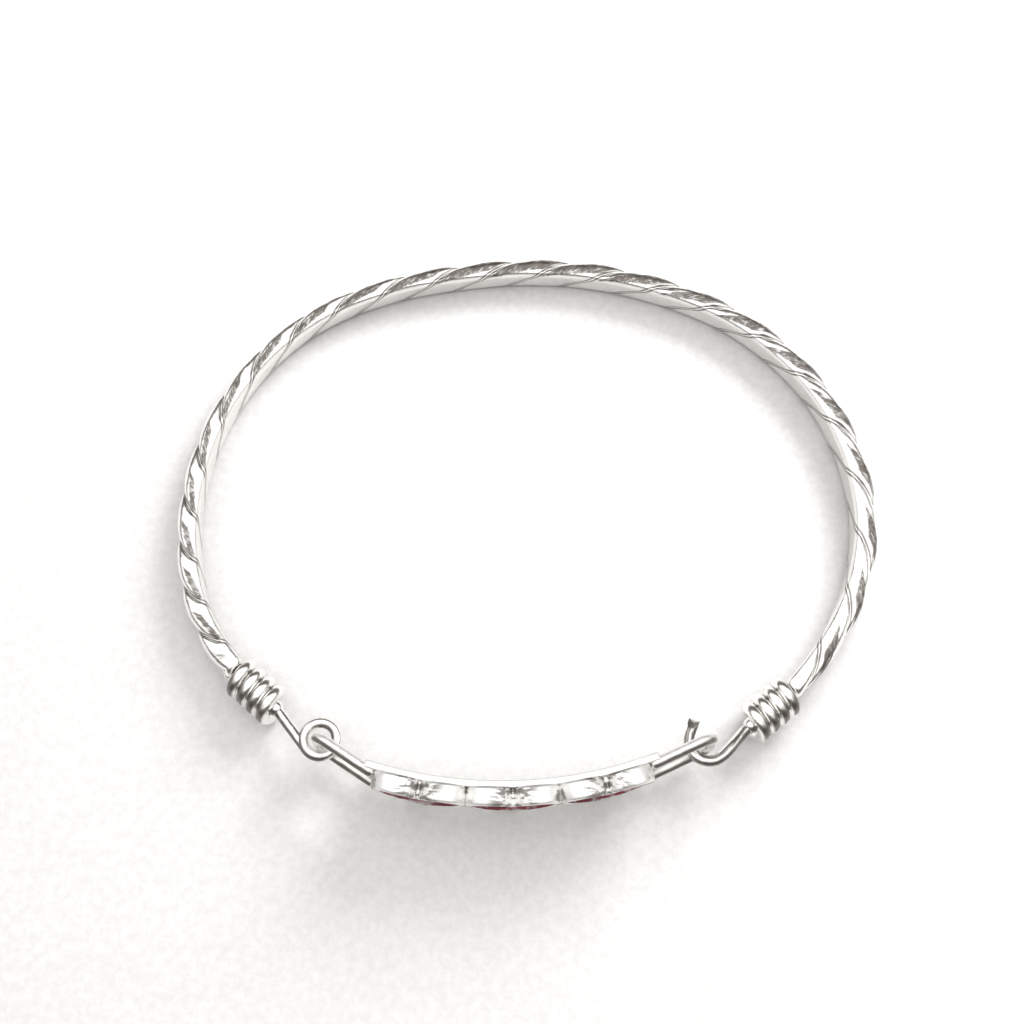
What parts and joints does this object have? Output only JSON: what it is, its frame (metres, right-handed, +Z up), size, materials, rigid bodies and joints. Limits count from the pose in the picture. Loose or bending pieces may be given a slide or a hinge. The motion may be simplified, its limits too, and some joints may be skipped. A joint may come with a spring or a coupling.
{
  "type": "bangle",
  "caption": "Twisted silver bangle whose open front is closed by a curved plate of red enamelled hearts, hinged on a loop and caught on a hook.",
  "frame": {"origin": "middle of the bangle's box on the floor, with the bangle lying on its side", "axes": "+Z up along the axis of the wrist, +X from the loop to the hook, and the heart plate at -Y"},
  "size_m": [0.0654, 0.054, 0.0074],
  "materials": {
    "band_silver": "polished silver, darkened in the grooves",
    "wire_silver": "polished silver wire",
    "plate_silver": "polished silver plate",
    "red_enamel": "dark red glossy enamel"
  },
  "bodies": {
    "bangle": {"twisted_band": "band_silver", "left_wrap": "wire_silver", "right_wrap": "wire_silver", "left_loop": "wire_silver", "right_hook": "wire_silver"},
    "plate": {"heart_plate": "plate_silver", "left_enamel": "red_enamel", "middle_enamel": "red_enamel", "right_enamel": "red_enamel"}
  },
  "joints": [
    {"name": "plate_swing", "type": "hinge", "parent": "bangle", "child": "plate", "pos_m": [-0.01819, -0.02127, 0.0037], "axis": [0, 0, 1], "range_deg": [0, 60]}
  ]
}
